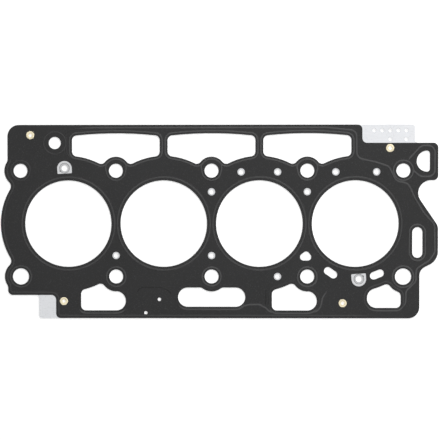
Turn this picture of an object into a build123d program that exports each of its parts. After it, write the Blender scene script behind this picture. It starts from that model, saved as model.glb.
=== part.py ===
from build123d import *
import os
from math import cos, radians, sin

os.makedirs("parts", exist_ok=True)

# Cylinder head gasket for a four-cylinder engine, in millimetres: a steel carrier sheet between two
# beaded spring-steel sheets, held together by four eyelets. It lies flat. +X runs along the cylinders,
# +Y towards the side with the three large return windows, +Z up, away from the engine block.
# The origin is the centre of the head bolt pattern, on the plane that the gasket rests on.

# ---- Driving dimensions ----

# Cylinders
BORE_COUNT = 4
BORE_D = 76.0  # opening in the gasket, a little larger than the cylinder
BORE_WEB = 8.0  # steel left between two neighbouring openings

# Sheets and beads
ACTIVE_T = 0.25  # each beaded cover sheet
CARRIER_T = 0.75
BEAD_H = 0.25  # height that a bead is pressed out of its sheet
BEAD_W = 2.2  # width of a bead at its foot
BEAD_CREST_W = 0.7
BORE_BEAD_IN = 2.8  # from the edge of a cylinder opening to the middle of its bead

# Head bolts and dowels
BOLT_ROW_GAP = 93.0
BOLT_D = 12.3
DOWEL_D = 14.3

# Outline, as distances from the bolt pattern unless said otherwise
LAND_W = 21.5  # sealing land round the cylinders, from the opening's edge
TOP_REACH = 40.25  # bolt row to the upper edge
BOTTOM_REACH = 36.75  # bolt row to the lower edge
LEFT_REACH = 11.3  # end bolt column to the left edge
RIGHT_REACH = 14.3  # end bolt column to the right edge, beside the dowel
EAR_REACH = 30.4  # end bolt column to the edge of the two ears on the right
CORNER_LOBE_R = 14.2  # lobes round the two bolts at the left end
OUTLINE_CORNER_R = 10.0
SMALL_CORNER_R = 4.2
NECK_R = 5.0  # hollow between a lobe and the round end
CODE_NOTCH_W = 66.3  # corner cut out of the cover sheets at the upper right
CODE_NOTCH_H = 16.0
FOOT_NOTCH_W = 42.25  # corner cut out at the lower left
FOOT_NOTCH_H = 20.4
UPPER_EAR_BOTTOM = 8.45  # below the upper bolt row
WAIST_R = 11.2  # hollow between the two ears
LOWER_EAR_TOP = 48.5  # below the upper bolt row
LOWER_EAR_BOTTOM = 14.1  # above the lower bolt row
EAR_SLOPE_DEG = 55.6  # edge that runs from the waist down to the lower ear
SKIRT_SLOPE_DEG = 26.2  # edge under the lower ear
LOWER_EAR_TOP_R = 9.0
LOWER_EAR_BOTTOM_R = 13.0
SKIRT_R = 8.5

# Windows
TOP_RIM_W = 7.45  # steel between a return window and the upper edge, at its middle
TOP_BAR_W = 6.9  # bar between two return windows
WINDOW_CROWN = 2.25  # arch of a return window's upper edge
WINDOW_CORNER_R = 4.3
TOP_BOSS_W = 6.15  # steel round a bolt hole that a return window leaves
BOTTOM_BOSS_W = 7.05  # steel round a bolt hole that a lower window leaves
END_WINDOW_H = 16.9  # lower window's height at its round end
END_WINDOW_DEPTH = 29.95  # bolt row to a lower window's lower edge
SIDE_WINDOW_REACH = 31.0  # bolt column to a side window's straight end
MID_WINDOW_L = 59.1
MID_WINDOW_H = 16.95
MID_WINDOW_DEPTH = 26.7  # bolt row to the middle window's lower edge
DOWEL_WINDOW_DEPTH = 27.6
DOWEL_WINDOW_L = 29.55
DOWEL_WINDOW_IN = 2.0  # dowel hole's middle to that window's straight end
DOWEL_WINDOW_END_R = 8.6
END_WALL_SHARE = 0.53  # most of the dowel window's end wall that one corner may take

# Coolant and oil passages
COOLANT_D = 6.45
COOLANT_ROW_DROP = 1.1  # upper coolant row below the bolt row
COOLANT_OFF_3 = 16.0  # third cylinder's middle to the upper hole on each side of it
COOLANT_OFF_3_LOWER = 15.9  # the same to the one lower hole on its right
COOLANT_OFF_4_LEFT = 17.1
COOLANT_OFF_4_RIGHT = 18.6
WEB_COOLANT_Y = 28.0
SLOT_W = 6.65
SLOT_L = 12.65
SLOT_OFF_LEFT = 20.5  # bolt column to the middle of the slot under cylinder four's left side
SLOT_UP_LEFT = 3.35  # above the lower bolt row
SLOT_TURN_LEFT_DEG = -34.3
SLOT_OFF_RIGHT = 19.05  # cylinder four's middle to the other slot
SLOT_UP_RIGHT = 1.8
SLOT_TURN_RIGHT_DEG = 21.9
SIDE_SLOT_W = 9.0
SIDE_SLOT_L = 26.9
SIDE_SLOT_IN = 12.4  # end bolt column to the side slot's middle
SIDE_SLOT_Y = -16.55
EAR_HOLE_R = 9.2
EAR_HOLE_IN = 20.8  # end bolt column to the middle of the ear hole's round side
EAR_HOLE_UP = 8.2  # above the upper bolt row
EAR_HOLE_FLAT = 2.35  # middle of the round side to the flat side
EAR_HOLE_CORNER_R = 2.6
CORNER_HOLE_D = 10.65
CORNER_HOLE_IN = 30.3  # left bolt column to the hole
CORNER_HOLE_DROP = 15.85  # below the upper edge
PIN_HOLE_D = 3.1
PIN_HOLE_OFF = 4.0  # second cylinder's middle to the hole
PIN_HOLE_UP = 16.6  # above the lower edge
EDGE_PIN_HOLE_OFF = 15.95
EDGE_PIN_HOLE_UP = 4.7
TRIANGLE_L = 3.6  # side of the triangle that the corners are rounded from
TRIANGLE_H = 1.75
TRIANGLE_DROP = 29.35  # its lower side below the cylinders' middle line
TRIANGLE_OFF = 3.2  # bolt column to its left corner
TRIANGLE_TIP_OFF = 1.0
TRIANGLE_CORNER_R = 3.1
FEED_WINDOW_R = 6.45
FEED_WINDOW_OUT = 48.8  # cylinder's middle to the middle of the feed window's round side
FEED_WINDOW_FLAT = 4.7
FEED_WINDOW_TURN_DEG = 3.8
FEED_CORNER_R = 0.9

# Smaller passages in the carrier
CARRIER_COOLANT_D = 4.2
FEED_HOLE_D = 5.3
FEED_STEP_D = 9.2
FEED_STEP_T = 0.2
FEED_STEP_SLOPE_DEG = 70  # the pressed wall's lean from upright
FEED_DOT_D = 1.2
FEED_DOT_T = 0.35
FEED_DOT_OFF = 4.0  # feed hole's middle to the punched dot, along the flat
FEED_DOT_DROP = 2.2

# Carrier tabs that show in the two notches
CODE_TAB_W = 46.0
CODE_HOLE_D = 3.0
CODE_HOLE_PITCH = 7.05
CODE_HOLE_COUNT = 5
CODE_HOLE_FIRST = 10.3  # notch's side to the first hole
CODE_ROW_DROP = 5.15  # upper edge to the row
CODE_ROW_GAP = 7.55
CODE_LOWER_HOLES = (2, 4)  # holes of the row that have another below them
FOOT_TAB_W = 15.0
TAB_CORNER_R = 2.6

# Eyelets
EYELET_FLANGE_R = 3.6
EYELET_FLANGE_T = 0.25
EYELET_RIM_T = 0.15
EYELET_FLARE_R = 2.3
EYELET_BARREL_R = 2.1
EYELET_BORE_R = 1.5
EYELET_HOLE_CLEARANCE = 0.1
EYELET_IN_UPPER_LEFT = 8.8  # left bolt column to the eyelet
EYELET_DROP_UPPER_LEFT = 9.0  # below the upper edge
EYELET_IN_UPPER_RIGHT = 11.6  # right bolt column to the eyelet
EYELET_DROP_UPPER_RIGHT = 4.5  # below the notch's lower side
EYELET_IN_LOWER_LEFT = 6.9  # from the notch's side
EYELET_DROP_LOWER_LEFT = 5.4  # below the notch's upper side
EYELET_OFF_LOWER_RIGHT = 10.9  # cylinder four's middle to the eyelet
EYELET_UP_LOWER_RIGHT = 13.3  # above the lower edge

# ---- Places worked out from them ----

BORE_R = BORE_D / 2
PITCH = BORE_D + BORE_WEB
BORE_X = [(i - (BORE_COUNT - 1) / 2) * PITCH for i in range(BORE_COUNT)]
BOLT_X = [(i - BORE_COUNT / 2) * PITCH for i in range(BORE_COUNT + 1)]
BOLT_Y = BOLT_ROW_GAP / 2
END_X = BOLT_X[-1]
LAND_R = BORE_R + LAND_W
TOP_Y = BOLT_Y + TOP_REACH
BOTTOM_Y = -BOLT_Y - BOTTOM_REACH
LEFT_X = -END_X - LEFT_REACH
RIGHT_X = END_X + RIGHT_REACH
EAR_X = END_X + EAR_REACH
CODE_NOTCH_X = EAR_X - CODE_NOTCH_W
CODE_NOTCH_Y = TOP_Y - CODE_NOTCH_H
FOOT_NOTCH_X = LEFT_X + FOOT_NOTCH_W
FOOT_NOTCH_Y = BOTTOM_Y + FOOT_NOTCH_H
TOP_BOSS_R = BOLT_D / 2 + TOP_BOSS_W
BOTTOM_BOSS_R = BOLT_D / 2 + BOTTOM_BOSS_W
DOWEL_BOSS_R = DOWEL_D / 2 + BOTTOM_BOSS_W

LOWER_Z = BEAD_H
CARRIER_Z = LOWER_Z + ACTIVE_T
UPPER_Z = CARRIER_Z + CARRIER_T
STACK_TOP = UPPER_Z + ACTIVE_T

COOLANT_ROW_Y = BOLT_Y - COOLANT_ROW_DROP
COOLANT_PLACES = [
    (BORE_X[2] - COOLANT_OFF_3, COOLANT_ROW_Y),
    (BORE_X[2] + COOLANT_OFF_3, COOLANT_ROW_Y),
    (BORE_X[3] - COOLANT_OFF_4_LEFT, COOLANT_ROW_Y),
    (BORE_X[3] + COOLANT_OFF_4_RIGHT, COOLANT_ROW_Y),
    (BOLT_X[2], WEB_COOLANT_Y),
    (BOLT_X[3], WEB_COOLANT_Y),
    (BOLT_X[1], -WEB_COOLANT_Y),
    (BOLT_X[2], -WEB_COOLANT_Y),
    (BORE_X[2] + COOLANT_OFF_3_LOWER, -BOLT_Y),
]
SLOT_PLACES = [
    ((BOLT_X[3] + SLOT_OFF_LEFT, SLOT_UP_LEFT - BOLT_Y), SLOT_TURN_LEFT_DEG),
    ((BORE_X[3] + SLOT_OFF_RIGHT, SLOT_UP_RIGHT - BOLT_Y), SLOT_TURN_RIGHT_DEG),
]
TRIANGLE_CORNERS = [
    (-TRIANGLE_OFF, -TRIANGLE_DROP),
    (TRIANGLE_L - TRIANGLE_OFF, -TRIANGLE_DROP),
    (-TRIANGLE_TIP_OFF, TRIANGLE_H - TRIANGLE_DROP),
]
CORNER_HOLE_PLACE = (CORNER_HOLE_IN - END_X, TOP_Y - CORNER_HOLE_DROP)
PIN_HOLE_PLACES = [
    (BORE_X[1] - EDGE_PIN_HOLE_OFF, BOTTOM_Y + EDGE_PIN_HOLE_UP),
    (BORE_X[1] - PIN_HOLE_OFF, BOTTOM_Y + PIN_HOLE_UP),
]
EYELET_PLACES = {
    "eyelet_upper_left": (EYELET_IN_UPPER_LEFT - END_X, TOP_Y - EYELET_DROP_UPPER_LEFT),
    "eyelet_upper_right": (END_X - EYELET_IN_UPPER_RIGHT, CODE_NOTCH_Y - EYELET_DROP_UPPER_RIGHT),
    "eyelet_lower_left": (FOOT_NOTCH_X + EYELET_IN_LOWER_LEFT, FOOT_NOTCH_Y - EYELET_DROP_LOWER_LEFT),
    "eyelet_lower_right": (BORE_X[3] - EYELET_OFF_LOWER_RIGHT, BOTTOM_Y + EYELET_UP_LOWER_RIGHT),
}

# ---- Profiles that the sheets share ----

PLACE_TOL = 0.01  # two places this close are the same place

slope = radians(EAR_SLOPE_DEG)
skirt = radians(SKIRT_SLOPE_DEG)
upper_ear_bottom_y = BOLT_Y - UPPER_EAR_BOTTOM
lower_ear_top_y = BOLT_Y - LOWER_EAR_TOP
lower_ear_bottom_y = LOWER_EAR_BOTTOM - BOLT_Y
waist_run = (upper_ear_bottom_y - lower_ear_top_y) * cos(slope) / sin(slope)
skirt_drop = (EAR_X - RIGHT_X) * sin(skirt) / cos(skirt)

left_corners = [
    ((LEFT_X, BOLT_Y), 0),
    ((-END_X, BOLT_Y), 0),
    ((-END_X, -BOLT_Y), 0),
    ((LEFT_X, -BOLT_Y), 0),
]
foot_notch_corners = [
    ((LEFT_X, FOOT_NOTCH_Y), SMALL_CORNER_R),
    ((FOOT_NOTCH_X, FOOT_NOTCH_Y), SMALL_CORNER_R),
    ((FOOT_NOTCH_X, BOTTOM_Y), SMALL_CORNER_R),
]
right_corners = [
    ((RIGHT_X, BOTTOM_Y), OUTLINE_CORNER_R),
    ((RIGHT_X, lower_ear_bottom_y - skirt_drop), SKIRT_R),
    ((EAR_X, lower_ear_bottom_y), LOWER_EAR_BOTTOM_R),
    ((EAR_X, lower_ear_top_y), LOWER_EAR_TOP_R),
    ((EAR_X - waist_run, upper_ear_bottom_y), WAIST_R),
    ((EAR_X, upper_ear_bottom_y), SMALL_CORNER_R),
]
code_notch_corners = [
    ((EAR_X, CODE_NOTCH_Y), SMALL_CORNER_R),
    ((CODE_NOTCH_X, CODE_NOTCH_Y), SMALL_CORNER_R),
    ((CODE_NOTCH_X, TOP_Y), SMALL_CORNER_R),
]
top_left_corner = [((LEFT_X, TOP_Y), OUTLINE_CORNER_R)]
lower_corners = left_corners + foot_notch_corners + right_corners
cover_corners = lower_corners + code_notch_corners + top_left_corner
shoulder_y = BOLT_Y + (CORNER_LOBE_R**2 - LEFT_REACH**2) ** 0.5  # where a lobe meets the left edge

with BuildSketch() as cover_outline:
    with BuildLine():
        FilletPolyline(
            *[place for place, _ in cover_corners],
            radius=[corner_r for _, corner_r in cover_corners],
            close=True,
        )
    make_face()
    with Locations((-END_X, BOLT_Y), (-END_X, -BOLT_Y)):
        Circle(CORNER_LOBE_R)
    with Locations((BORE_X[0], 0)):
        Circle(LAND_R)
    necks = cover_outline.vertices().filter_by(lambda v: v.X < -END_X and abs(v.Y) < BOLT_Y)
    fillet(necks, NECK_R)
    shoulders = cover_outline.vertices().filter_by(
        lambda v: abs(v.X - LEFT_X) < PLACE_TOL and abs(abs(v.Y) - shoulder_y) < PLACE_TOL
    )
    fillet(shoulders, NECK_R)

window_end_x = (PITCH - TOP_BAR_W) / 2
crown_y = TOP_Y - TOP_RIM_W

# Return window between two cylinders, drawn at the bolt column x = 0.
with BuildSketch() as return_window:
    with BuildLine():
        Polyline(
            (-window_end_x, crown_y - WINDOW_CROWN),
            (-window_end_x, BOLT_Y),
            (window_end_x, BOLT_Y),
            (window_end_x, crown_y - WINDOW_CROWN),
        )
        ThreePointArc(
            (-window_end_x, crown_y - WINDOW_CROWN),
            (0, crown_y),
            (window_end_x, crown_y - WINDOW_CROWN),
        )
    make_face()
    with Locations((-PITCH / 2, 0), (PITCH / 2, 0)):
        Circle(LAND_R, mode=Mode.SUBTRACT)
    with Locations((0, BOLT_Y)):
        Circle(TOP_BOSS_R, mode=Mode.SUBTRACT)
    fillet(return_window.vertices(), WINDOW_CORNER_R)

# Side window of the lower row, drawn at the bolt column x = 0 and the cylinder to its left.
side_window_bottom = -BOLT_Y - END_WINDOW_DEPTH
round_end_y = side_window_bottom + END_WINDOW_H / 2
with BuildSketch() as side_window:
    with BuildLine():
        Polyline(
            (0, side_window_bottom),
            (-SIDE_WINDOW_REACH, side_window_bottom),
            (-SIDE_WINDOW_REACH, -BOLT_Y),
            (0, -BOLT_Y),
            (0, side_window_bottom + END_WINDOW_H),
        )
        TangentArc((0, side_window_bottom + END_WINDOW_H), (0, side_window_bottom), tangent=(1, 0))
    make_face()
    with Locations((-PITCH / 2, 0)):
        Circle(LAND_R, mode=Mode.SUBTRACT)
    with Locations((0, -BOLT_Y)):
        Circle(BOTTOM_BOSS_R, mode=Mode.SUBTRACT)
    side_corners = side_window.vertices().filter_by(lambda v: v.X < -PLACE_TOL)
    fillet(side_corners, WINDOW_CORNER_R)

# Middle window of the lower row.
with BuildSketch() as middle_window:
    with Locations((0, -BOLT_Y - MID_WINDOW_DEPTH + MID_WINDOW_H / 2)):
        SlotOverall(MID_WINDOW_L, MID_WINDOW_H)
    with Locations((0, -BOLT_Y)):
        Circle(BOTTOM_BOSS_R, mode=Mode.SUBTRACT)
    boss_corners = middle_window.vertices().filter_by(lambda v: abs(v.X) < BOTTOM_BOSS_R)
    fillet(boss_corners, WINDOW_CORNER_R)

# Window beside the right-hand dowel.
dowel_window_right = END_X - DOWEL_WINDOW_IN
dowel_window_left = dowel_window_right - DOWEL_WINDOW_L
dowel_window_bottom = -BOLT_Y - DOWEL_WINDOW_DEPTH
end_wall_top = -((LAND_R**2 - (dowel_window_left - BORE_X[-1]) ** 2) ** 0.5)
dowel_window_end_r = min(DOWEL_WINDOW_END_R, END_WALL_SHARE * (end_wall_top - dowel_window_bottom))
with BuildSketch() as dowel_window:
    with BuildLine():
        Polyline(
            (dowel_window_left, dowel_window_bottom),
            (dowel_window_right, dowel_window_bottom),
            (dowel_window_right, -BOLT_Y),
            (dowel_window_left, -BOLT_Y),
            close=True,
        )
    make_face()
    with Locations((BORE_X[-1], 0)):
        Circle(LAND_R, mode=Mode.SUBTRACT)
    with Locations((END_X, -BOLT_Y)):
        Circle(DOWEL_BOSS_R, mode=Mode.SUBTRACT)
    round_end = dowel_window.vertices().filter_by(lambda v: v.X < dowel_window_left + PLACE_TOL)
    fillet(round_end, dowel_window_end_r)
    boss_end = dowel_window.vertices().filter_by(lambda v: v.X > BORE_X[-1] + LAND_W)
    fillet(boss_end, WINDOW_CORNER_R)

# Hole with one flat side in the upper ear.
ear_hole_x = END_X + EAR_HOLE_IN
with BuildSketch() as ear_hole:
    with Locations((ear_hole_x, BOLT_Y + EAR_HOLE_UP)):
        Circle(EAR_HOLE_R)
    with Locations((ear_hole_x + EAR_HOLE_FLAT, BOLT_Y + EAR_HOLE_UP)):
        Rectangle(EAR_HOLE_R, 2 * EAR_HOLE_R, align=(Align.MIN, Align.CENTER), mode=Mode.SUBTRACT)
    fillet(ear_hole.vertices(), EAR_HOLE_CORNER_R)

# Feed window, drawn with its flat side below and the middle of its round side at the origin.
with BuildSketch() as feed_window:
    Circle(FEED_WINDOW_R)
    Rectangle(2 * FEED_WINDOW_R, FEED_WINDOW_R, align=(Align.CENTER, Align.MAX))
    with Locations((0, -FEED_WINDOW_FLAT)):
        Rectangle(2 * FEED_WINDOW_R, FEED_WINDOW_R, align=(Align.CENTER, Align.MAX), mode=Mode.SUBTRACT)
    fillet(feed_window.vertices().group_by(Axis.Y)[0], FEED_CORNER_R)

with BuildSketch() as rounded_triangle:
    Polygon(*TRIANGLE_CORNERS, align=None)
    offset(amount=TRIANGLE_CORNER_R)

# Everything that passes through all three sheets at full size.
with BuildSketch() as passages:
    with Locations(*[(x, 0) for x in BORE_X]):
        Circle(BORE_R)
    with Locations(*[(x, BOLT_Y) for x in BOLT_X], *[(x, -BOLT_Y) for x in BOLT_X[1:-1]]):
        Circle(BOLT_D / 2)
    with Locations((-END_X, -BOLT_Y), (END_X, -BOLT_Y)):
        Circle(DOWEL_D / 2)
    with Locations(*[(x, 0) for x in BOLT_X[1:-1]]):
        add(return_window.sketch)
    with Locations((BOLT_X[1], 0), (BOLT_X[3], 0)):
        add(side_window.sketch)
    add(middle_window.sketch)
    add(dowel_window.sketch)
    add(ear_hole.sketch)
    with Locations((END_X + SIDE_SLOT_IN, SIDE_SLOT_Y)):
        SlotOverall(SIDE_SLOT_L, SIDE_SLOT_W, rotation=90)
    for place, angle in SLOT_PLACES:
        with Locations(place):
            SlotOverall(SLOT_L, SLOT_W, rotation=angle)
    with Locations((BOLT_X[3], 0)):
        add(rounded_triangle.sketch)
    with Locations(CORNER_HOLE_PLACE):
        Circle(CORNER_HOLE_D / 2)
    with Locations(*PIN_HOLE_PLACES):
        Circle(PIN_HOLE_D / 2)
    with Locations(*EYELET_PLACES.values()):
        Circle(EYELET_BARREL_R + EYELET_HOLE_CLEARANCE)

turn = radians(FEED_WINDOW_TURN_DEG)
feed_x = BORE_X[-1] + FEED_WINDOW_OUT * sin(turn)
feed_y = FEED_WINDOW_OUT * cos(turn)
feed_locations = [
    Location((-feed_x, feed_y, 0), FEED_WINDOW_TURN_DEG),
    Location((feed_x, -feed_y, 0), 180 + FEED_WINDOW_TURN_DEG),
]

# Blank that both cover sheets are pressed from.
with BuildSketch() as cover_blank:
    add(cover_outline.sketch)
    add(passages.sketch, mode=Mode.SUBTRACT)
    with Locations(*COOLANT_PLACES):
        Circle(COOLANT_D / 2, mode=Mode.SUBTRACT)
    with Locations(*feed_locations):
        add(feed_window.sketch, mode=Mode.SUBTRACT)

with BuildSketch() as carrier_outline:
    add(cover_outline.sketch)
    with Locations((CODE_NOTCH_X, TOP_Y)):
        Rectangle(CODE_TAB_W, CODE_NOTCH_H, align=(Align.MIN, Align.MAX))
        Rectangle(2 * SMALL_CORNER_R, 2 * SMALL_CORNER_R, align=(Align.MAX, Align.MAX))
    with Locations((FOOT_NOTCH_X, BOTTOM_Y)):
        Rectangle(FOOT_TAB_W, FOOT_NOTCH_H, align=(Align.MAX, Align.MIN))
        Rectangle(2 * SMALL_CORNER_R, 2 * SMALL_CORNER_R, align=(Align.MIN, Align.MIN))
    tab_sides = (CODE_NOTCH_X + CODE_TAB_W, FOOT_NOTCH_X - FOOT_TAB_W)
    tab_corners = carrier_outline.vertices().filter_by(
        lambda v: min(abs(v.X - side) for side in tab_sides) < PLACE_TOL
    )
    fillet(tab_corners, TAB_CORNER_R)

with BuildPart() as carrier_layer:
    with BuildSketch(Plane.XY.offset(CARRIER_Z)):
        add(carrier_outline.sketch)
        add(passages.sketch, mode=Mode.SUBTRACT)
        with Locations(*COOLANT_PLACES):
            Circle(CARRIER_COOLANT_D / 2, mode=Mode.SUBTRACT)
        with Locations(*feed_locations):
            Circle(FEED_HOLE_D / 2, mode=Mode.SUBTRACT)
        with Locations((CODE_NOTCH_X + CODE_HOLE_FIRST, TOP_Y - CODE_ROW_DROP)):
            with Locations(*[(i * CODE_HOLE_PITCH, 0) for i in range(CODE_HOLE_COUNT)]):
                Circle(CODE_HOLE_D / 2, mode=Mode.SUBTRACT)
            with Locations(*[(i * CODE_HOLE_PITCH, -CODE_ROW_GAP) for i in CODE_LOWER_HOLES]):
                Circle(CODE_HOLE_D / 2, mode=Mode.SUBTRACT)
    extrude(amount=CARRIER_T)
    with BuildSketch(Plane.XY.offset(UPPER_Z)):
        with Locations(*feed_locations):
            Circle(FEED_STEP_D / 2)
    extrude(amount=-FEED_STEP_T, taper=FEED_STEP_SLOPE_DEG, mode=Mode.SUBTRACT)
    with BuildSketch(Plane.XY.offset(UPPER_Z)):
        with Locations(*feed_locations):
            with Locations((-FEED_DOT_OFF, -FEED_DOT_DROP)):
                Circle(FEED_DOT_D / 2)
    extrude(amount=-FEED_DOT_T, mode=Mode.SUBTRACT)

carrier_layer.part.label = "carrier_layer"
export_step(carrier_layer.part, "parts/carrier_layer.step")


# The upper cover sheet is pressed up into a bead round each cylinder: a ridge on its outer face and a
# groove of the same section beneath it, so the steel keeps its thickness.
bead_middle = BORE_R + BORE_BEAD_IN
with BuildSketch() as bead_section:
    Polygon(
        (bead_middle - BEAD_W / 2, 0),
        (bead_middle + BEAD_W / 2, 0),
        (bead_middle + BEAD_CREST_W / 2, BEAD_H),
        (bead_middle - BEAD_CREST_W / 2, BEAD_H),
        align=None,
    )

with BuildPart() as upper_bead_layer:
    with BuildSketch(Plane.XY.offset(UPPER_Z)):
        add(cover_blank.sketch)
    extrude(amount=ACTIVE_T)
    for x in BORE_X:
        bore_axis = Axis((x, 0, 0), (0, 0, 1))
        with BuildSketch(Plane((x, 0, STACK_TOP), x_dir=(1, 0, 0), z_dir=(0, -1, 0))):
            add(bead_section.sketch)
        revolve(axis=bore_axis)
        with BuildSketch(Plane((x, 0, UPPER_Z), x_dir=(1, 0, 0), z_dir=(0, -1, 0))):
            add(bead_section.sketch)
        revolve(axis=bore_axis, mode=Mode.SUBTRACT)

upper_bead_layer.part.label = "upper_bead_layer"
export_step(upper_bead_layer.part, "parts/upper_bead_layer.step")

# The lower cover sheet is the same pressing turned over.
with BuildPart() as lower_bead_layer:
    mirror(upper_bead_layer.part, about=Plane.XY.offset(CARRIER_Z + CARRIER_T / 2))

lower_bead_layer.part.label = "lower_bead_layer"
export_step(lower_bead_layer.part, "parts/lower_bead_layer.step")

# Hollow eyelets, flared over the cover sheets at both ends.
for name, (x, y) in EYELET_PLACES.items():
    with BuildPart() as eyelet:
        with BuildSketch(Plane((x, y, 0), x_dir=(1, 0, 0), z_dir=(0, -1, 0))):
            Polygon(
                (EYELET_BORE_R, LOWER_Z),
                (EYELET_FLARE_R, LOWER_Z - EYELET_FLANGE_T),
                (EYELET_FLANGE_R, LOWER_Z - EYELET_RIM_T),
                (EYELET_FLANGE_R, LOWER_Z),
                (EYELET_BARREL_R, LOWER_Z),
                (EYELET_BARREL_R, STACK_TOP),
                (EYELET_FLANGE_R, STACK_TOP),
                (EYELET_FLANGE_R, STACK_TOP + EYELET_RIM_T),
                (EYELET_FLARE_R, STACK_TOP + EYELET_FLANGE_T),
                (EYELET_BORE_R, STACK_TOP),
                align=None,
            )
        revolve(axis=Axis((x, y, 0), (0, 0, 1)))

    eyelet.part.label = name
    export_step(eyelet.part, f"parts/{name}.step")
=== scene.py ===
"""Dresses the cylinder head gasket: coated covers with pressed seal lines, bare steel, eyelets."""

import math

import bmesh
import bpy
from bpy.props import FloatProperty, FloatVectorProperty, IntProperty, PointerProperty
from mathutils import Euler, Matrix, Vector


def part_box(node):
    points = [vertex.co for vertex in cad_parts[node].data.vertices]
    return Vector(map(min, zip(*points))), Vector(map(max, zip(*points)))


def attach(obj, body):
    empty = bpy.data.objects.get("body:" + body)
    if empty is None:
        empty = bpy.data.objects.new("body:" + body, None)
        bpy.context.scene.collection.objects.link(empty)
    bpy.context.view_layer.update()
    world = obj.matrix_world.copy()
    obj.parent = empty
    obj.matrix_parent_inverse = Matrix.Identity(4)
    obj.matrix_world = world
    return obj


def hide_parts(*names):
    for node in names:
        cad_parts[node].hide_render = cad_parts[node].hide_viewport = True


bl_info = {
    "name": "Cylinder Head Gasket",
    "version": (1, 0, 0),
    "blender": (4, 5, 0),
    "location": "View3D > Sidebar > Gasket",
    "description": "Gives a layered steel head gasket its seal lines, finishes and eyelets",
    "category": "Object",
}

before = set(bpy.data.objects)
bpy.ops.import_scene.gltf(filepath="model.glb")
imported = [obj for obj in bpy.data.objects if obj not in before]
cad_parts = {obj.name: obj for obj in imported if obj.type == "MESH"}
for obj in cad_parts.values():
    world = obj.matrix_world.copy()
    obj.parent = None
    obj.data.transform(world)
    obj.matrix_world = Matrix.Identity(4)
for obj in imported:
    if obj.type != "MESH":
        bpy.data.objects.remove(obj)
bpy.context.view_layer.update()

MM = 0.001
COVERS = ("upper_bead_layer", "lower_bead_layer")
EYELETS = ("eyelet_upper_left", "eyelet_upper_right", "eyelet_lower_left", "eyelet_lower_right")

COVER_SHEET = 0.25 * MM  # thickness of a cover
CARRIER_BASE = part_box("carrier_layer")[0].z
CARRIER_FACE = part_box("carrier_layer")[1].z
STACK_MIDDLE = (CARRIER_BASE + CARRIER_FACE) / 2
SHEET_FACE = CARRIER_FACE + COVER_SHEET  # outer face of the upper cover
LOWER_FACE = CARRIER_BASE - COVER_SHEET  # outer face of the lower cover

# Windows that a seal line runs round, as (x, y, gap to the line, how far it is pressed flat on the
# side next to the cylinders) in millimetres.
LINED_WINDOWS = (
    (-84, 68, 2.1, 0), (0, 68, 2.1, 0), (84, 68, 2.1, 0),
    (-97, -68, 2.4, 0.13), (0, -66, 2.3, 0.13), (71, -68, 2.5, 0.1), (152, -67, 2.4, 0.07),
    (180.4, -16.5, 2.4, 0),
)

# Rings round holes, as (x, y, radius, radius on the side away from the cylinders, how far the ring
# is pressed flat) in millimetres.
RINGS = (
    (-168, 46.5, 8.4, 8.9, 0.08), (-84, 46.5, 8.4, 10.05, 0.05), (0, 46.5, 8.4, 10.05, 0.03),
    (84, 46.5, 8.3, 10.05, 0), (-84, -46.5, 8.4, 8.8, 0.04), (0, -46.5, 8.2, 8.3, 0.02),
    (84, -46.5, 8.4, 8.8, 0), (-168, -46.5, 9.3, 9.3, 0.06), (168, -46.5, 9.3, 9.5, 0.02),
    (168, 46.5, 8.6, 8.9, 0.03), (-137.7, 70.9, 9.8, 9.8, 0.095),
)

# The line along the outer edge runs anticlockwise between the edge points nearest to these.
RIM_START = Vector((-176.8, 57)) * MM
RIM_END = Vector((168, -80.8)) * MM

# Seal lines that follow no hole, as corner points in millimetres, some with how far the line is
# pressed flat there. Their corners are rounded afterwards.
ROUTES = {
    "coolant": (
        (-117.5, 55.9), (-123.6, 57.6, 0.1), (-128, 63, 0.13), (-128, 82, 0.14), (-114, 83.9, 0.1),
        (-104, 84.2), (100, 84.2), (127.1, 81.6), (127.3, 57.6), (143, 54.2), (155.4, 50.2),
        (161.6, 37.6), (172.4, 35), (178, 22.8), (186, 9.6), (195.4, -0.8), (195.8, -25.4),
        (190.6, -32.6), (179.4, -39.6), (179.2, -51), (170.6, -59), (170.2, -70), (166, -76.2),
    ),
    "ear": (
        (171, 54.6), (173.2, 57, 0.03), (183.6, 68.3), (195.6, 68.3), (195.6, 41.2), (183, 41.2),
        (176.4, 46.6), (176.2, 52),
    ),
    "middle_arch": (
        (20, -76.4), (27, -72.9), (33, -71.2), (42, -71.2), (47, -73.8), (51, -77.6), (58, -78.7),
    ),
    "right_sweep": ((104, -55), (97.4, -65), (95.8, -73), (92.6, -77.2), (86, -78.6)),
}

# Steps in the sheet that show only as a fine shaded line, given as the routes are. The darker
# coating of these steps is painted shade.
STEPS = {
    "pin_arch": (
        (-65.6, -63), (-65.2, -55.9, 0.05), (-44, -55.9), (-37.4, -58.8, 0.03), (-35, -63),
    ),
    "window_post": ((47.6, -57), (47.6, -60, 0.07), (47.6, -69.5, 0.07), (47.6, -72.4)),
}


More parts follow.
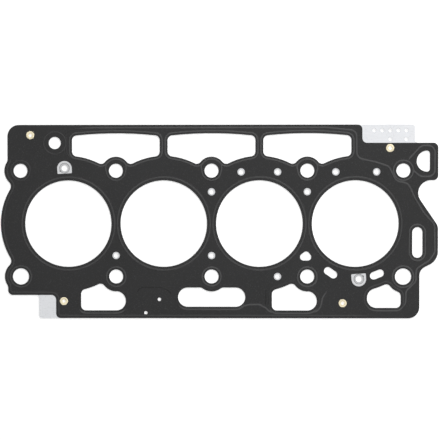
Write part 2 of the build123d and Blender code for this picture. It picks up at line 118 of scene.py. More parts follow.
class GasketSizes(bpy.types.PropertyGroup):
    line_width: FloatProperty(
        name="Seal line width", description="Width of a seal line at its foot",
        default=2.1 * MM, min=0.5 * MM, max=4 * MM, unit="LENGTH")
    line_crest: FloatProperty(
        name="Seal line crest", description="Width of the flat on top of a seal line",
        default=0.9 * MM, min=0, max=2 * MM, unit="LENGTH")
    line_height: FloatProperty(
        name="Seal line height", description="How far a seal line stands out of its sheet",
        default=0.2 * MM, min=0.05 * MM, max=0.25 * MM, unit="LENGTH")
    line_sink: FloatProperty(
        name="Seal line root", description="How deep the foot of a seal line lies in its sheet",
        default=0.05 * MM, min=0, max=0.2 * MM, unit="LENGTH")
    line_corner: FloatProperty(
        name="Seal line corner", description="Largest corner radius of a free seal line",
        default=6 * MM, min=0, max=20 * MM, unit="LENGTH")
    line_step: FloatProperty(
        name="Seal line step", description="Length of one step along a seal line",
        default=1.2 * MM, min=0.3 * MM, max=5 * MM, unit="LENGTH")
    step_width: FloatProperty(
        name="Step width", description="Width of a pressed step at its foot",
        default=1.5 * MM, min=0.5 * MM, max=4 * MM, unit="LENGTH")
    step_height: FloatProperty(
        name="Step height", description="How far a pressed step stands out of its sheet",
        default=0.15 * MM, min=0.05 * MM, max=0.25 * MM, unit="LENGTH")
    edge_gap: FloatProperty(
        name="Gap to edge", description="From the sheet's edge to the middle of the line along it",
        default=2.4 * MM, min=0.5 * MM, max=5 * MM, unit="LENGTH")
    rim_flat: FloatProperty(
        name="Rim flattening", description="How far the line along the outer edge is pressed flat",
        default=0.07 * MM, min=0, max=0.2 * MM, unit="LENGTH")
    petals: IntProperty(
        name="Petals", description="Splits round an eyelet's flange", default=6, min=0, max=12)
    petal_depth: FloatProperty(
        name="Petal depth", description="How far the flange draws in between two petals",
        default=0.16 * MM, min=0, max=1 * MM, unit="LENGTH")


class GasketFinishes(bpy.types.PropertyGroup):
    coating: FloatVectorProperty(
        name="Coating", description="Black elastomer coating of the covers",
        subtype="COLOR", size=3, min=0, max=1, default=(0.0188, 0.0188, 0.0192))
    # Lighter colour of the raised lines: partly wear, partly a painted highlight of their lit
    # crests.
    wear_and_highlight_coating: FloatVectorProperty(
        name="Wear and painted highlight", description="Lighter coating on raised lines, as wear and a painted highlight",
        subtype="COLOR", size=3, min=0, max=1, default=(0.075, 0.075, 0.076))
    steel: FloatVectorProperty(
        name="Steel", description="Bare steel of the carrier and of cut edges",
        subtype="COLOR", size=3, min=0, max=1, default=(0.77, 0.78, 0.8))
    film: FloatVectorProperty(
        name="Oil film", description="Steel under the film of oil that stays inside the stack",
        subtype="COLOR", size=3, min=0, max=1, default=(0.57, 0.57, 0.575))
    brass: FloatVectorProperty(
        name="Eyelet metal", description="Pale plated brass of the eyelets",
        subtype="COLOR", size=3, min=0, max=1, default=(0.8, 0.725, 0.53))
    floor: FloatVectorProperty(
        name="Floor", description="Floor under the gasket",
        subtype="COLOR", size=3, min=0, max=1, default=(0.90, 0.90, 0.90))


# ---- Finishes ----

RELIEF = 0.02 * MM  # depth of the grain and the scratches
CLOUD_RANGE = (0.3, 0.7)  # stretch of the noise that a cloud spans
SPECK_RANGE = (0.56, 0.72)  # stretch over which a speck comes up
GRAIN_SCALE = 4200.0
STREAK_SCALE = 1500.0
SCRATCH_SCALE = 5200.0
ROLLED_STRETCH = (0.06, 1.0, 1.0)  # draws the noise out along X

# Two tones or roughnesses are those of the thinnest and the densest cloud or streak, and a tone is
# a share of the finish's own colour.
COATING_TONES = (0.86, 1.14)
COATING_ROUGHNESS = (0.44, 0.56)
COATING_SHINE = 0.2  # specular level
DUST_TONE = 1.3  # of the lighter colour of the raised lines
CUT_TONES = (0.35, 0.55)  # of the steel, where a cover is cut
LEAST_WEAR_AND_HIGHLIGHT = 0.75  # share of the wear and painted highlight where the cloud is thinnest
WEAR_AND_HIGHLIGHT_LOW = 0.08 * MM  # height over the face where the wear and painted highlight begin to show
WEAR_AND_HIGHLIGHT_HIGH = 0.2 * MM  # height from which they are complete

STEEL_TONES = (0.93, 1.05)
STEEL_SPECK_TONE = 0.8
STEEL_ROUGHNESS = (0.74, 0.82)
STEEL_METALLIC = 0.3
FILM_SHARE = 0.45  # how much of the oil film's colour the sheltered steel takes
PAINTED_SHADE_TONE = 0.24  # of the film
WALL_SHADE = 0.7  # painted shade on the walls of the pressed marks
SUNK_SHADE = 0.22  # painted shade on the floor of the pressed steps
STEP_DEPTHS = (0.1 * MM, 0.25 * MM)
DOT_DEPTHS = (0.3 * MM, 0.4 * MM)

BRASS_TONES = (0.84, 1.04)
BRASS_SPOTS = (0.38, 0.28, 0.14)
BRASS_ROUGHNESS = (0.74, 0.64)
BRASS_METALLIC = 0.5


# ---- Shader nodes ----


def feed(tree, socket, value):
    """Sets a socket to a number or a colour, or links another socket to it."""
    if isinstance(value, bpy.types.NodeSocket):
        tree.links.new(value, socket)
    else:
        socket.default_value = value


def math_node(tree, operation, first, second=None, clamp=False):
    node = tree.nodes.new("ShaderNodeMath")
    node.operation = operation
    node.use_clamp = clamp
    feed(tree, node.inputs[0], first)
    if second is not None:
        feed(tree, node.inputs[1], second)
    return node.outputs[0]


def mix_colour(tree, factor, first, second):
    node = tree.nodes.new("ShaderNodeMix")
    node.data_type = "RGBA"
    sockets = {socket.identifier: socket for socket in node.inputs}
    for key, value in (("Factor_Float", factor), ("A_Color", first), ("B_Color", second)):
        feed(tree, sockets[key], value)
    return next(socket for socket in node.outputs if socket.identifier == "Result_Color")


def noise(tree, place, scale, detail, roughness=0.5):
    node = tree.nodes.new("ShaderNodeTexNoise")
    feed(tree, node.inputs["Vector"], place)
    feed(tree, node.inputs["Scale"], scale)
    feed(tree, node.inputs["Detail"], detail)
    feed(tree, node.inputs["Roughness"], roughness)
    return node.outputs["Fac"]


def map_range(tree, value, low, high, to_low=0.0, to_high=1.0, interpolation="LINEAR"):
    node = tree.nodes.new("ShaderNodeMapRange")
    node.interpolation_type = interpolation
    ends = {"Value": value, "From Min": low, "From Max": high, "To Min": to_low, "To Max": to_high}
    for key, end in ends.items():
        feed(tree, node.inputs[key], end)
    return node.outputs["Result"]


def own_place(tree):
    """Where a point lies in its object's own coordinates."""
    return tree.nodes.new("ShaderNodeTexCoord").outputs["Object"]


def component(tree, vector, axis):
    split = tree.nodes.new("ShaderNodeSeparateXYZ")
    tree.links.new(vector, split.inputs["Vector"])
    return split.outputs[axis]


def bump(tree, height, surface, strength):
    """Fine relief that a height value gives a surface."""
    node = tree.nodes.new("ShaderNodeBump")
    node.inputs["Strength"].default_value = strength
    node.inputs["Distance"].default_value = RELIEF
    tree.links.new(height, node.inputs["Height"])
    tree.links.new(node.outputs["Normal"], surface.inputs["Normal"])


# ---- Shader node groups ----


def new_group(name, inputs, outputs):
    """A shader node group of plain values, from its inputs with their defaults and its outputs."""
    group = bpy.data.node_groups.new(name, "ShaderNodeTree")
    kind = "NodeSocketFloat"
    for socket_name, default in inputs.items():
        socket = group.interface.new_socket(socket_name, in_out="INPUT", socket_type=kind)
        socket.default_value = default
    for socket_name in outputs:
        group.interface.new_socket(socket_name, in_out="OUTPUT", socket_type=kind)
    entry, leave = group.nodes.new("NodeGroupInput"), group.nodes.new("NodeGroupOutput")
    return group, entry.outputs, leave.inputs


def place_group(tree, group, **values):
    """A group in a material with its own values, keyed by the inputs' names with underscores."""
    node = tree.nodes.new("ShaderNodeGroup")
    node.node_tree = group
    for key, value in values.items():
        node.inputs[key.replace("_", " ")].default_value = value
    return node.outputs


def make_mottle_group():
    """Soft cloudy variation with finer specks and a fine grain."""
    group, entry, leave = new_group(
        "Mottle", {"Cloud Scale": 18.0, "Speck Scale": 900.0, "Speck Share": 0.3},
        ("Cloud", "Specks", "Grain"))
    place = own_place(group)
    cloud = noise(group, place, entry["Cloud Scale"], detail=4.0)
    speck = noise(group, place, entry["Speck Scale"], detail=2.0)
    grain = noise(group, place, GRAIN_SCALE, detail=2.0, roughness=0.6)
    sharp = map_range(group, speck, *SPECK_RANGE)
    group.links.new(map_range(group, cloud, *CLOUD_RANGE), leave["Cloud"])
    group.links.new(math_node(group, "MULTIPLY", sharp, entry["Speck Share"]), leave["Specks"])
    group.links.new(grain, leave["Grain"])
    return group


def make_rolled_group():
    """Fine rolling lines along X, with a value for colour and one for height."""
    group, _, leave = new_group("Rolled Steel", {}, ("Streaks", "Height"))
    stretch = group.nodes.new("ShaderNodeMapping")
    stretch.inputs["Scale"].default_value = ROLLED_STRETCH
    group.links.new(own_place(group), stretch.inputs["Vector"])
    drawn = stretch.outputs["Vector"]
    streaks = noise(group, drawn, STREAK_SCALE, detail=4.0, roughness=0.6)
    scratches = noise(group, drawn, SCRATCH_SCALE, detail=2.0)
    group.links.new(streaks, leave["Streaks"])
    group.links.new(scratches, leave["Height"])
    return group


def make_cut_edge_group():
    """Mask of walls: nought where the normal's upright share is Flat, one where it is Steep."""
    group, entry, leave = new_group("Cut Edge", {"Flat": 0.55, "Steep": 0.35}, ("Mask",))
    normal = group.nodes.new("ShaderNodeNewGeometry").outputs["True Normal"]
    upright = math_node(group, "ABSOLUTE", component(group, normal, "Z"))
    group.links.new(map_range(group, upright, entry["Flat"], entry["Steep"]), leave["Mask"])
    return group


def make_raised_group():
    """Mask of what stands proud of the stack's outer faces, growing between Low and High."""
    group, entry, leave = new_group(
        "Raised", {"Upper Face": 0.0, "Lower Face": 0.0, "Low": 0.0, "High": 1.0}, ("Mask",))
    height = component(group, own_place(group), "Z")
    above = math_node(group, "SUBTRACT", height, entry["Upper Face"])
    below = math_node(group, "SUBTRACT", entry["Lower Face"], height)
    proud = math_node(group, "MAXIMUM", above, below)
    mask = map_range(group, proud, entry["Low"], entry["High"], interpolation="SMOOTHSTEP")
    group.links.new(mask, leave["Mask"])
    return group


def make_pit_group():
    """Mask of what lies between Least and Most below a face."""
    group, entry, leave = new_group("Pit", {"Face": 0.0, "Least": 0.0, "Most": 1.0}, ("Mask",))
    depth = math_node(group, "SUBTRACT", entry["Face"], component(group, own_place(group), "Z"))
    deep = math_node(group, "GREATER_THAN", depth, entry["Least"])
    shallow = math_node(group, "LESS_THAN", depth, entry["Most"])
    group.links.new(math_node(group, "MULTIPLY", deep, shallow), leave["Mask"])
    return group


def make_sheltered_group():
    """Mask of the steel inside the stack, away from the two tabs that hands wipe."""
    group, entry, leave = new_group("Sheltered", {"Reach": 60 * MM}, ("Mask",))
    across = math_node(group, "ABSOLUTE", component(group, own_place(group), "Y"))
    group.links.new(math_node(group, "LESS_THAN", across, entry["Reach"]), leave["Mask"])
    return group


# ---- Materials ----


def new_material(name):
    material = bpy.data.materials.new(name)
    material.use_nodes = True
    tree = material.node_tree
    return material, tree, tree.nodes["Principled BSDF"]


def rgba(colour, tone=1.0):
    return tuple(min(1.0, channel * tone) for channel in colour) + (1.0,)


def mix_tones(tree, factor, colour, tones, share=1.0):
    """Two tones of one colour, mixed by a value."""
    return mix_colour(
        tree, factor, rgba(colour, tones[0] * share), rgba(colour, tones[1] * share))


def spread_roughness(tree, cloud, surface, ends):
    tree.links.new(map_range(tree, cloud, 0.0, 1.0, *ends), surface.inputs["Roughness"])


def coating_material(finishes, groups, name, wear_and_highlight, tone=1.0):
    """Black coating. wear_and_highlight is how far raised lines are lightened towards a lighter
    colour, partly wear and partly a painted highlight, and tone is how light it is elsewhere; the
    steps' low tone is painted shade."""
    material, tree, surface = new_material(name)
    mottle = place_group(
        tree, groups["mottle"], Cloud_Scale=16.0, Speck_Scale=1100.0, Speck_Share=0.2)
    edge = place_group(tree, groups["cut_edge"])["Mask"]
    raised = place_group(
        tree, groups["raised"], Upper_Face=SHEET_FACE, Lower_Face=LOWER_FACE,
        Low=WEAR_AND_HIGHLIGHT_LOW, High=WEAR_AND_HIGHLIGHT_HIGH)["Mask"]
    streaks = place_group(tree, groups["rolled"])["Streaks"]
    fresh = mix_tones(tree, mottle["Cloud"], finishes.coating, COATING_TONES, tone)
    # Raised lines are lightened: partly wear, partly a painted highlight of their lit crests.
    patchy = map_range(tree, mottle["Cloud"], 0.0, 1.0, LEAST_WEAR_AND_HIGHLIGHT * wear_and_highlight, wear_and_highlight)
    lightened_share = math_node(tree, "MULTIPLY", raised, patchy, clamp=True)
    lightened = mix_colour(tree, lightened_share, fresh, rgba(finishes.wear_and_highlight_coating))
    dusty = mix_colour(tree, mottle["Specks"], lightened, rgba(finishes.wear_and_highlight_coating, DUST_TONE))
    cut = mix_tones(tree, streaks, finishes.steel, CUT_TONES)
    tree.links.new(mix_colour(tree, edge, dusty, cut), surface.inputs["Base Color"])
    tree.links.new(edge, surface.inputs["Metallic"])
    surface.inputs["Specular IOR Level"].default_value = COATING_SHINE
    spread_roughness(tree, mottle["Cloud"], surface, COATING_ROUGHNESS)
    bump(tree, mottle["Grain"], surface, 0.25)
    return material


def steel_material(finishes, groups):
    """Bare rolled steel, filmed with oil inside the stack, with painted shade in its pressed marks
    and dots.
    """
    material, tree, surface = new_material("Bare steel")
    mottle = place_group(
        tree, groups["mottle"], Cloud_Scale=60.0, Speck_Scale=700.0, Speck_Share=0.5)
    rolled = place_group(tree, groups["rolled"])
    sheltered = place_group(tree, groups["sheltered"])["Mask"]
    walls = place_group(tree, groups["cut_edge"], Flat=0.99, Steep=0.94)["Mask"]
    dots, steps = (
        place_group(tree, groups["pit"], Face=CARRIER_FACE, Least=least, Most=most)["Mask"]
        for least, most in (DOT_DEPTHS, STEP_DEPTHS))
    streaky = mix_tones(tree, rolled["Streaks"], finishes.steel, STEEL_TONES)
    dull = mix_colour(tree, mottle["Specks"], streaky, rgba(finishes.steel, STEEL_SPECK_TONE))
    oily = math_node(tree, "MULTIPLY", sheltered, FILM_SHARE)
    filmed = mix_colour(tree, oily, dull, rgba(finishes.film))
    # Painted shade: the walls and floors of the pressed steps and the punched dots are darkened.
    wall_and_step_shade = math_node(
        tree, "MAXIMUM", math_node(tree, "MULTIPLY", walls, WALL_SHADE),
        math_node(tree, "MULTIPLY", steps, SUNK_SHADE))
    painted_shade = math_node(tree, "MAXIMUM", wall_and_step_shade, dots)
    shaded_steel = mix_colour(tree, painted_shade, filmed, rgba(finishes.film, PAINTED_SHADE_TONE))
    tree.links.new(shaded_steel, surface.inputs["Base Color"])
    surface.inputs["Metallic"].default_value = STEEL_METALLIC
    spread_roughness(tree, mottle["Cloud"], surface, STEEL_ROUGHNESS)
    bump(tree, rolled["Height"], surface, 0.3)
    return material


def brass_material(finishes, groups):
    """Pale plated brass with a patchy tarnish and dark spots."""
    material, tree, surface = new_material("Eyelet brass")
    mottle = place_group(
        tree, groups["mottle"], Cloud_Scale=300.0, Speck_Scale=1800.0, Speck_Share=0.4)
    tarnish = mix_tones(tree, mottle["Cloud"], finishes.brass, BRASS_TONES)
    spotted = mix_colour(tree, mottle["Specks"], tarnish, rgba(BRASS_SPOTS))
    tree.links.new(spotted, surface.inputs["Base Color"])
    surface.inputs["Metallic"].default_value = BRASS_METALLIC
    spread_roughness(tree, mottle["Cloud"], surface, BRASS_ROUGHNESS)
    bump(tree, mottle["Grain"], surface, 0.3)
    return material


def palette():
    """The materials, made once and kept by name."""
    if "Bare steel" not in bpy.data.materials:
        groups = {
            "mottle": make_mottle_group(), "rolled": make_rolled_group(),
            "cut_edge": make_cut_edge_group(), "raised": make_raised_group(),
            "pit": make_pit_group(), "sheltered": make_sheltered_group(),
        }
        finishes = bpy.context.scene.gasket_finishes
        # The lighter crests of the covers' beads and the seal lines are partly wear and partly
        # painted highlight.
        coating_material(finishes, groups, "Black coating", 0.6)
        coating_material(finishes, groups, "Line coating", 0.88)
        # Darker coating of the steps: painted shade of their slopes.
        coating_material(finishes, groups, "Step coating with painted shade", 0.0, 0.55)
        steel_material(finishes, groups)
        brass_material(finishes, groups)
    return bpy.data.materials


def dress(node_name, material):
    """Gives a solid that keeps its shape its finish."""
    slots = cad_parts[node_name].material_slots
    if not slots:
        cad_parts[node_name].data.materials.append(material)
    for slot in slots:
        slot.material = material


# ---- Mesh helpers ----


def link_object(name, data):
    item = bpy.data.objects.new(name, data)
    bpy.context.scene.collection.objects.link(item)
    return item


def smooth_slopes(piece, crease):
    """Smooth shading, but for creases sharper than an angle in degrees."""
    piece.data.shade_smooth()
    piece.data.set_sharp_from_angle(angle=math.radians(crease))


# ---- Geometry node trees ----

CORNER_POINTS = 10  # points along a rounded corner


def geometry_tree(name, sizes):
    """A geometry node tree with a geometry in and out, named sizes and a material."""
    tree = bpy.data.node_groups.new(name, "GeometryNodeTree")
    face = tree.interface
    face.new_socket("Geometry", in_out="INPUT", socket_type="NodeSocketGeometry")
    for size in sizes:
        face.new_socket(size, in_out="INPUT", socket_type="NodeSocketFloat")
    face.new_socket("Material", in_out="INPUT", socket_type="NodeSocketMaterial")
    face.new_socket("Geometry", in_out="OUTPUT", socket_type="NodeSocketGeometry")
    entry, leave = tree.nodes.new("NodeGroupInput"), tree.nodes.new("NodeGroupOutput")
    return tree, entry.outputs, leave.inputs


def seal_line_tree():
    """Sweeps a low trapezoid along every spline, upright, with the splines' corners rounded."""
    tree, entry, leave = geometry_tree(
        "Seal Lines", ("Foot Width", "Crest Width", "Height", "Root", "Step"))
    nodes, links = tree.nodes, tree.links
    fillet = nodes.new("GeometryNodeFilletCurve")
    fillet.mode = "POLY"
    fillet.inputs["Count"].default_value = CORNER_POINTS
    fillet.inputs["Limit Radius"].default_value = True
    links.new(entry["Geometry"], fillet.inputs["Curve"])
    links.new(nodes.new("GeometryNodeInputRadius").outputs[0], fillet.inputs["Radius"])
    steps = nodes.new("GeometryNodeResampleCurve")
    steps.mode = "LENGTH"
    links.new(fillet.outputs[0], steps.inputs["Curve"])
    links.new(entry["Step"], steps.inputs["Length"])
    upright = nodes.new("GeometryNodeSetCurveNormal")
    upright.mode = "Z_UP"
    links.new(steps.outputs[0], upright.inputs[0])
    # The radius has told how far to round the corners, and would now scale the section.
    even = nodes.new("GeometryNodeSetCurveRadius")
    even.inputs["Radius"].default_value = 1.0
    links.new(upright.outputs[0], even.inputs["Curve"])
    section = nodes.new("GeometryNodeCurvePrimitiveQuadrilateral")
    section.mode = "TRAPEZOID"
    section.inputs["Offset"].default_value = 0.0
    deep = math_node(tree, "ADD", entry["Height"], entry["Root"])
    links.new(entry["Foot Width"], section.inputs["Bottom Width"])
    links.new(entry["Crest Width"], section.inputs["Top Width"])
    links.new(deep, section.inputs["Height"])
    lift = nodes.new("ShaderNodeCombineXYZ")
    half = math_node(tree, "MULTIPLY", deep, 0.5)
    links.new(math_node(tree, "SUBTRACT", entry["Root"], half), lift.inputs["Y"])
    move = nodes.new("GeometryNodeTransform")
    # The sweep lays a section's Y downwards, so the section is turned by half a turn.
    move.inputs["Rotation"].default_value = (0, 0, math.pi)
    links.new(section.outputs[0], move.inputs["Geometry"])
    links.new(lift.outputs[0], move.inputs["Translation"])
    sweep = nodes.new("GeometryNodeCurveToMesh")
    sweep.inputs["Fill Caps"].default_value = True
    links.new(even.outputs[0], sweep.inputs["Curve"])
    links.new(move.outputs[0], sweep.inputs["Profile Curve"])
    realize = nodes.new("GeometryNodeRealizeInstances")
    links.new(sweep.outputs[0], realize.inputs[0])
    paint = nodes.new("GeometryNodeSetMaterial")
    links.new(realize.outputs[0], paint.inputs["Geometry"])
    links.new(entry["Material"], paint.inputs["Material"])
    links.new(paint.outputs[0], leave[0])
    return tree


def set_inputs(modifier, values):
    """Sets a node modifier's inputs by their names, through their identifiers."""
    for item in modifier.node_group.interface.items_tree:
        if item.item_type == "SOCKET" and item.in_out == "INPUT" and item.name in values:
            modifier[item.identifier] = values[item.name]


def harvest(source, tree, values, name):
    """Runs a node tree on an object and returns what it makes as a plain mesh object."""
    modifier = source.modifiers.new(tree.name, "NODES")
    modifier.node_group = tree
    set_inputs(modifier, values)
    depsgraph = bpy.context.evaluated_depsgraph_get()
    mesh = bpy.data.meshes.new_from_object(source.evaluated_get(depsgraph))
    mesh.name = name
    source.modifiers.remove(modifier)
    bpy.data.objects.remove(source)
    return link_object(name, mesh)


# ---- Seal lines ----

SAME_PLACE = 1e-6  # points and heights closer than this are one
CROSSING_LIFT = 0.0015 * MM  # from one line to the next, so that crossing crests share no plane
RUN_OUT = 0.21 * MM  # how far the end of an open line is pressed flat
RIM_RUN_OUT = 0.85  # share of the rim line's last stretch that keeps its height
LEAST_MITRE = 0.3  # keeps a sharp corner from running far out
RING_POINTS = 64
SWELL_START = 0.15  # a ring swells from the angle with minus this sine
SWELL_SPAN = 0.75  # to the one whose sine is this much more
LEVEL_STRIP = 1 * MM  # along a window's lower edge, where its line keeps its height
FLATTEN_OVER = 4 * MM  # from there on the flattening grows over this distance
LINE_CREASE = 50.0  # degrees


def clamped(value):
    """A value held between nought and one."""
    return min(1.0, max(0.0, value))


def sheet_loops(node_name, height):
    """Closed edge loops of a sheet's flat face at one height, as lists of points."""
    bm = bmesh.new()
    bm.from_mesh(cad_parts[node_name].data)
    bmesh.ops.remove_doubles(bm, verts=bm.verts, dist=SAME_PLACE)
    flat = {f for f in bm.faces if all(abs(v.co.z - height) < SAME_PLACE for v in f.verts)}
    follow = {}
    for face in bm.faces:
        if face not in flat:
            continue
        for loop in face.loops:
            if sum(f in flat for f in loop.edge.link_faces) == 1:
                follow[loop.vert.index] = (loop.link_loop_next.vert.index, loop.vert.co.copy())
    loops = []
    while follow:
        here = next(iter(follow))
        points = []
        while here in follow:
            here, place = follow.pop(here)
            points.append(place)
        loops.append(points)
    bm.free()
    return loops


def loop_middle(points):
    xs = [p.x for p in points]
    ys = [p.y for p in points]
    return Vector(((min(xs) + max(xs)) / 2, (min(ys) + max(ys)) / 2))


def loop_span(points):
    xs = [p.x for p in points]
    return max(xs) - min(xs)


def signed_area(points):
    return sum(a.x * b.y - b.x * a.y for a, b in zip(points, points[1:] + points[:1])) / 2


def offset_loop(points, distance):
    """The loop moved outwards by a distance, or inwards by a negative one."""
    turn = 1 if signed_area(points) > 0 else -1
    moved = []
    count = len(points)
    for i, here in enumerate(points):
        before = (here - points[i - 1]).xy.normalized()
        after = (points[(i + 1) % count] - here).xy.normalized()
        first = Vector((before.y, -before.x)) * turn
        second = Vector((after.y, -after.x)) * turn
        corner = first + second
        corner *= distance / max(LEAST_MITRE, corner.dot(first))
        moved.append(here.xy + corner)
    return moved


def ring(x, y, radius, far_radius):
    """A closed line round a hole that swells to far_radius on the side away from the cylinders."""
    points = []
    for i in range(RING_POINTS):
        angle = 2 * math.pi * i / RING_POINTS
        away = math.sin(angle) * math.copysign(1, y)
        share = clamped((away + SWELL_START) / SWELL_SPAN)
        reach = radius + (far_radius - radius) * share * share * (3 - 2 * share)
        points.append(Vector((x + reach * math.cos(angle), y + reach * math.sin(angle))) * MM)
    return points


def edge_run(points, start, end):
    """The stretch of a closed loop from the point nearest start to the one nearest end."""
    first = min(range(len(points)), key=lambda i: (points[i] - start).length)
    last = min(range(len(points)), key=lambda i: (points[i] - end).length)
    if last < first:
        last += len(points)
    return [points[i % len(points)] for i in range(first, last + 1)]


def rim_line(outline, gap):
    """The line along a sheet's outer edge, with a point just before its end."""
    inner = offset_loop(outline, -gap)
    if signed_area(outline) < 0:
        inner.reverse()
    run = edge_run(inner, RIM_START, RIM_END)
    run.insert(-1, run[-2].lerp(run[-1], RIM_RUN_OUT))
    return run


def pressed_side(points, flat):
    """How far a window's line is pressed flat: nothing along its lower edge, all of flat above."""
    start = min(p.y for p in points)
    return [flat * clamped((p.y - start - LEVEL_STRIP) / FLATTEN_OVER) for p in points]


def add_spline(curve, points, flats, closed, corner=0.0):
    """Adds a line with how far each of its points lies below the full height. The ends of an open
    line run out level with the sheet, and its radius holds how far the corners are rounded."""
    lift = len(curve.splines) * CROSSING_LIFT
    if not closed:
        flats[0] = flats[-1] = RUN_OUT
    spline = curve.splines.new("POLY")
    spline.points.add(len(points) - 1)
    for target, place, flat in zip(spline.points, points, flats):
        target.co = (place[0], place[1], SHEET_FACE + lift - flat, 1.0)
        target.radius = corner
    spline.use_cyclic_u = closed


def add_routes(curve, routes, corner):
    """Adds open lines that are given as corner points."""
    for route in routes.values():
        places = [Vector(point[:2]) * MM for point in route]
        flats = [point[2] * MM if len(point) > 2 else 0.0 for point in route]
        add_spline(curve, places, flats, closed=False, corner=corner)


def new_paths(name):
    curve = bpy.data.curves.new(name, "CURVE")
    curve.dimensions = "3D"
    return link_object(name, curve)


def seal_line_paths(sizes):
    """All the seal lines of the upper cover as splines on its outer face."""
    paths = new_paths("seal_line_paths")
    curve = paths.data
    loops = sheet_loops("upper_bead_layer", SHEET_FACE)
    for x, y, gap, flat in LINED_WINDOWS:
        window = min(loops, key=lambda loop: (loop_middle(loop) - Vector((x, y)) * MM).length)
        line = offset_loop(window, gap * MM)
        add_spline(curve, line, pressed_side(line, flat * MM), closed=True)
    rim = rim_line(max(loops, key=loop_span), sizes.edge_gap)
    add_spline(curve, rim, [sizes.rim_flat] * len(rim), closed=False)
    for x, y, radius, far_radius, flat in RINGS:
        line = ring(x, y, radius, far_radius)
        add_spline(curve, line, [flat * MM] * len(line), closed=True)
    add_routes(curve, ROUTES, sizes.line_corner)
    return paths


def step_paths(sizes):
    """The pressed steps of the upper cover as splines on its outer face."""
    paths = new_paths("step_paths")
    add_routes(paths.data, STEPS, sizes.line_corner)
    return paths


def turned_over(piece, name):
    """A copy of a piece for the lower cover, mirrored about the middle of the stack."""
    mesh = piece.data.copy()
    mesh.name = name
    for vertex in mesh.vertices:
        vertex.co.z = 2 * STACK_MIDDLE - vertex.co.z
    mesh.flip_normals()
    return link_object(name, mesh)


# ---- Eyelets ----

EYELET_STEPS = 72
EYELET_CREASE = 40.0  # degrees
RIM_TO_BARREL = 1.5 * MM  # from the flange's rim to the barrel's outer wall
RIM_TO_BORE = 2.1 * MM
PETAL_ROUND = 0.5  # a lower power makes rounder petals with sharper splits
# Waves round the rim, as (how many, share of the petal depth, turn from one eyelet to the next).
PETAL_WOBBLE = ((2, 0.12, 1.7), (3, 0.08, 2.9))
PETAL_DRAW = 0.2  # share of the petal depth by which the whole rim draws in


def eyelet_profile(low, high, flange, barrel):
    """Section of an eyelet's wall as (radius, height): its lower flange, then the upper one."""
    lower = (  # the second number is how far a point lies inside the stack's face, in millimetres
        (flange - RIM_TO_BORE, 0.25), (barrel + 0.1 * MM, 0.05), (barrel + 0.5 * MM, 0.0),
        (flange - 0.25 * MM, 0.05), (flange, 0.16), (flange - 0.05 * MM, 0.25), (barrel, 0.25),
    )
    profile = [(radius, low.z + depth * MM) for radius, depth in lower]
    return profile + [(radius, high.z - depth * MM) for radius, depth in reversed(lower)]


def lathe_eyelet(name, sizes, seed, material):
    """One eyelet: a hollow barrel with a flange at each end, split into uneven petals."""
    low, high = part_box(name)
    centre = (low + high) / 2
    flange = (high.x - low.x) / 2
    barrel = flange - RIM_TO_BARREL
    profile = eyelet_profile(low, high, flange, barrel)
    bm = bmesh.new()
    columns = []
    for i in range(EYELET_STEPS):
        angle = 2 * math.pi * i / EYELET_STEPS
        lobe = abs(math.sin((sizes.petals * angle + seed) / 2)) ** PETAL_ROUND
        wobble = sum(
            depth * math.sin(waves * angle + turn * seed) for waves, depth, turn in PETAL_WOBBLE)
        column = []
        for radius, z in profile:
            share = max(0.0, (radius - barrel) / (flange - barrel))
            out = radius - share * sizes.petal_depth * (1 - lobe + wobble + PETAL_DRAW)
            spot = (centre.x + out * math.cos(angle), centre.y + out * math.sin(angle), z)
            column.append(bm.verts.new(spot))
        columns.append(column)
    count = len(profile)
    for i, here in enumerate(columns):
        there = columns[(i + 1) % EYELET_STEPS]
        for j in range(count):
            after = (j + 1) % count
            bm.faces.new((here[j], here[after], there[after], there[j]))
    bmesh.ops.recalc_face_normals(bm, faces=bm.faces)
    mesh = bpy.data.meshes.new(name + "_petalled")
    bm.to_mesh(mesh)
    bm.free()
    mesh.materials.append(material)
    piece = link_object(name + "_petalled", mesh)
    smooth_slopes(piece, EYELET_CREASE)
    return piece


# ---- Stage ----

CAMERA_AIM = Vector((7.41, 3.2, 1.5)) * MM
CAMERA_DISTANCE = 1316.9 * MM
CAMERA_TILT = (-0.03124, 0.01711, -0.00075)  # about X, Y and the view's own axis, in radians
CAMERA_LENS = 122.73  # millimetres, on SENSOR_WIDTH
SENSOR_WIDTH = 36.0
FLOOR_HALF = 4.0
FLOOR_DROP = 0.05 * MM  # below the gasket, so that the two faces don't meet
FLOOR_NEAR = 0.3  # out to here the floor keeps its shadows
FLOOR_FAR = 1.1  # from here on it looks as white as the surroundings
FLOOR_GLOW = 0.42  # how much of white the floor adds near the gasket
FLOOR_ROUGHNESS = 0.9
WORLD_LEVEL = 0.25  # how brightly the surroundings light things
WORLD_SEEN = 1.0  # how bright they look
WHITE = (1, 1, 1, 1)

# Square lamps that all point at the origin, as (name, place and side in metres, watts).
LAMPS = (
    ("top_lamp", (-0.3, 0.5, 2.2), 1.6, 6.0),
    ("far_lamp", (0.3, 0.7, 0.9), 0.6, 7.2),
    ("near_lamp", (0.5, -0.7, 0.9), 0.6, 3.4),
)


def seen(tree):
    """One where the camera, a mirror or a glass looks, and nought for the light on things."""
    path = tree.nodes.new("ShaderNodeLightPath")
    either = math_node(tree, "ADD", path.outputs["Is Camera Ray"], path.outputs["Is Glossy Ray"])
    return math_node(tree, "ADD", either, path.outputs["Is Transmission Ray"], clamp=True)


